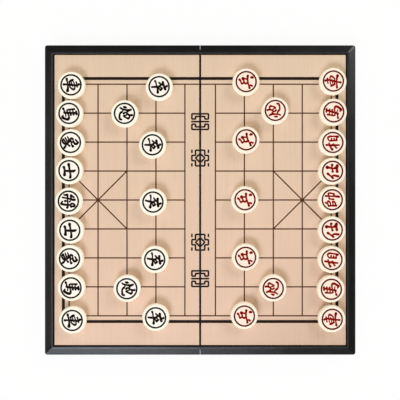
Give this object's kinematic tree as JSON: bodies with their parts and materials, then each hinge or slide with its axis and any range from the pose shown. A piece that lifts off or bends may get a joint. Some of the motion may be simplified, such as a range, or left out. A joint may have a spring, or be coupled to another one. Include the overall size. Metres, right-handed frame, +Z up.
{
  "type": "folding chinese chess set",
  "caption": "Folding two-part game case laid open as a Chinese chess board, with round loose pieces standing on its printed grid.",
  "frame": {"origin": "middle of the open board on the table plane, on the fold line", "axes": "+X across the fold towards the red side, +Y along the fold, +Z up"},
  "size_m": [0.3166, 0.3154, 0.0283],
  "materials": {
    "case_plastic": "satin black",
    "printed_card": "printed pale wood grain, matt laminate",
    "print_ink": "dark brown print",
    "sheet_steel": "plain",
    "pin_steel": "drawn wire",
    "hinge_plastic": "satin black",
    "piece_black_marked": "cream, black marking",
    "piece_red_marked": "cream, red marking"
  },
  "bodies": {
    "left_case": {"left_case_shell": "case_plastic", "left_steel_sheet": "sheet_steel", "left_board_panel": "printed_card", "left_grid_print": "print_ink", "left_hinge_pins": "pin_steel", "latch_pin": "pin_steel"},
    "hinge_links": {"hinge_links": "hinge_plastic"},
    "right_case": {"right_case_shell": "case_plastic", "right_steel_sheet": "sheet_steel", "right_board_panel": "printed_card", "right_grid_print": "print_ink", "right_hinge_pins": "pin_steel"},
    "latch": {"latch_flap": "hinge_plastic"},
    "black_chariot_1": {"black_chariot_1": "piece_black_marked"},
    "black_chariot_2": {"black_chariot_2": "piece_black_marked"},
    "black_horse_1": {"black_horse_1": "piece_black_marked"},
    "black_horse_2": {"black_horse_2": "piece_black_marked"},
    "black_elephant_1": {"black_elephant_1": "piece_black_marked"},
    "black_elephant_2": {"black_elephant_2": "piece_black_marked"},
    "black_advisor_1": {"black_advisor_1": "piece_black_marked"},
    "black_advisor_2": {"black_advisor_2": "piece_black_marked"},
    "black_general": {"black_general": "piece_black_marked"},
    "black_cannon_1": {"black_cannon_1": "piece_black_marked"},
    "black_cannon_2": {"black_cannon_2": "piece_black_marked"},
    "black_soldier_1": {"black_soldier_1": "piece_black_marked"},
    "black_soldier_2": {"black_soldier_2": "piece_black_marked"},
    "black_soldier_3": {"black_soldier_3": "piece_black_marked"},
    "black_soldier_4": {"black_soldier_4": "piece_black_marked"},
    "black_soldier_5": {"black_soldier_5": "piece_black_marked"},
    "red_chariot_1": {"red_chariot_1": "piece_red_marked"},
    "red_chariot_2": {"red_chariot_2": "piece_red_marked"},
    "red_horse_1": {"red_horse_1": "piece_red_marked"},
    "red_horse_2": {"red_horse_2": "piece_red_marked"},
    "red_elephant_1": {"red_elephant_1": "piece_red_marked"},
    "red_elephant_2": {"red_elephant_2": "piece_red_marked"},
    "red_advisor_1": {"red_advisor_1": "piece_red_marked"},
    "red_advisor_2": {"red_advisor_2": "piece_red_marked"},
    "red_general": {"red_general": "piece_red_marked"},
    "red_cannon_1": {"red_cannon_1": "piece_red_marked"},
    "red_cannon_2": {"red_cannon_2": "piece_red_marked"},
    "red_soldier_1": {"red_soldier_1": "piece_red_marked"},
    "red_soldier_2": {"red_soldier_2": "piece_red_marked"},
    "red_soldier_3": {"red_soldier_3": "piece_red_marked"},
    "red_soldier_4": {"red_soldier_4": "piece_red_marked"},
    "red_soldier_5": {"red_soldier_5": "piece_red_marked"}
  },
  "joints": [
    {"name": "case_fold", "type": "hinge", "parent": "hinge_links", "child": "right_case", "pos_m": [0.0035, 0, 0.00335], "axis": [0, 1, 0], "range_deg": [0, 90]},
    {"name": "case_fold_links", "type": "hinge", "parent": "left_case", "child": "hinge_links", "pos_m": [-0.0035, 0, 0.00335], "axis": [0, 1, 0], "range_deg": [0, 90]},
    {"name": "case_latch", "type": "hinge", "parent": "left_case", "child": "latch", "pos_m": [-0.15635, 0, 0.0045], "axis": [0, -1, 0], "range_deg": [0, 180]},
    {"name": "lift_black_chariot_1", "type": "slide", "parent": "left_case", "child": "black_chariot_1", "axis": [0, 0, 1], "range_m": [0, 0.025]},
    {"name": "lift_black_chariot_2", "type": "slide", "parent": "left_case", "child": "black_chariot_2", "axis": [0, 0, 1], "range_m": [0, 0.025]},
    {"name": "lift_black_horse_1", "type": "slide", "parent": "left_case", "child": "black_horse_1", "axis": [0, 0, 1], "range_m": [0, 0.025]},
    {"name": "lift_black_horse_2", "type": "slide", "parent": "left_case", "child": "black_horse_2", "axis": [0, 0, 1], "range_m": [0, 0.025]},
    {"name": "lift_black_elephant_1", "type": "slide", "parent": "left_case", "child": "black_elephant_1", "axis": [0, 0, 1], "range_m": [0, 0.025]},
    {"name": "lift_black_elephant_2", "type": "slide", "parent": "left_case", "child": "black_elephant_2", "axis": [0, 0, 1], "range_m": [0, 0.025]},
    {"name": "lift_black_advisor_1", "type": "slide", "parent": "left_case", "child": "black_advisor_1", "axis": [0, 0, 1], "range_m": [0, 0.025]},
    {"name": "lift_black_advisor_2", "type": "slide", "parent": "left_case", "child": "black_advisor_2", "axis": [0, 0, 1], "range_m": [0, 0.025]},
    {"name": "lift_black_general", "type": "slide", "parent": "left_case", "child": "black_general", "axis": [0, 0, 1], "range_m": [0, 0.025]},
    {"name": "lift_black_cannon_1", "type": "slide", "parent": "left_case", "child": "black_cannon_1", "axis": [0, 0, 1], "range_m": [0, 0.025]},
    {"name": "lift_black_cannon_2", "type": "slide", "parent": "left_case", "child": "black_cannon_2", "axis": [0, 0, 1], "range_m": [0, 0.025]},
    {"name": "lift_black_soldier_1", "type": "slide", "parent": "left_case", "child": "black_soldier_1", "axis": [0, 0, 1], "range_m": [0, 0.025]},
    {"name": "lift_black_soldier_2", "type": "slide", "parent": "left_case", "child": "black_soldier_2", "axis": [0, 0, 1], "range_m": [0, 0.025]},
    {"name": "lift_black_soldier_3", "type": "slide", "parent": "left_case", "child": "black_soldier_3", "axis": [0, 0, 1], "range_m": [0, 0.025]},
    {"name": "lift_black_soldier_4", "type": "slide", "parent": "left_case", "child": "black_soldier_4", "axis": [0, 0, 1], "range_m": [0, 0.025]},
    {"name": "lift_black_soldier_5", "type": "slide", "parent": "left_case", "child": "black_soldier_5", "axis": [0, 0, 1], "range_m": [0, 0.025]},
    {"name": "lift_red_chariot_1", "type": "slide", "parent": "right_case", "child": "red_chariot_1", "axis": [0, 0, 1], "range_m": [0, 0.025]},
    {"name": "lift_red_chariot_2", "type": "slide", "parent": "right_case", "child": "red_chariot_2", "axis": [0, 0, 1], "range_m": [0, 0.025]},
    {"name": "lift_red_horse_1", "type": "slide", "parent": "right_case", "child": "red_horse_1", "axis": [0, 0, 1], "range_m": [0, 0.025]},
    {"name": "lift_red_horse_2", "type": "slide", "parent": "right_case", "child": "red_horse_2", "axis": [0, 0, 1], "range_m": [0, 0.025]},
    {"name": "lift_red_elephant_1", "type": "slide", "parent": "right_case", "child": "red_elephant_1", "axis": [0, 0, 1], "range_m": [0, 0.025]},
    {"name": "lift_red_elephant_2", "type": "slide", "parent": "right_case", "child": "red_elephant_2", "axis": [0, 0, 1], "range_m": [0, 0.025]},
    {"name": "lift_red_advisor_1", "type": "slide", "parent": "right_case", "child": "red_advisor_1", "axis": [0, 0, 1], "range_m": [0, 0.025]},
    {"name": "lift_red_advisor_2", "type": "slide", "parent": "right_case", "child": "red_advisor_2", "axis": [0, 0, 1], "range_m": [0, 0.025]},
    {"name": "lift_red_general", "type": "slide", "parent": "right_case", "child": "red_general", "axis": [0, 0, 1], "range_m": [0, 0.025]},
    {"name": "lift_red_cannon_1", "type": "slide", "parent": "right_case", "child": "red_cannon_1", "axis": [0, 0, 1], "range_m": [0, 0.025]},
    {"name": "lift_red_cannon_2", "type": "slide", "parent": "right_case", "child": "red_cannon_2", "axis": [0, 0, 1], "range_m": [0, 0.025]},
    {"name": "lift_red_soldier_1", "type": "slide", "parent": "right_case", "child": "red_soldier_1", "axis": [0, 0, 1], "range_m": [0, 0.025]},
    {"name": "lift_red_soldier_2", "type": "slide", "parent": "right_case", "child": "red_soldier_2", "axis": [0, 0, 1], "range_m": [0, 0.025]},
    {"name": "lift_red_soldier_3", "type": "slide", "parent": "right_case", "child": "red_soldier_3", "axis": [0, 0, 1], "range_m": [0, 0.025]},
    {"name": "lift_red_soldier_4", "type": "slide", "parent": "right_case", "child": "red_soldier_4", "axis": [0, 0, 1], "range_m": [0, 0.025]},
    {"name": "lift_red_soldier_5", "type": "slide", "parent": "right_case", "child": "red_soldier_5", "axis": [0, 0, 1], "range_m": [0, 0.025]}
  ],
  "couplings": [
    {"joint": "case_fold_links", "follows": "case_fold", "ratio": 1}
  ]
}
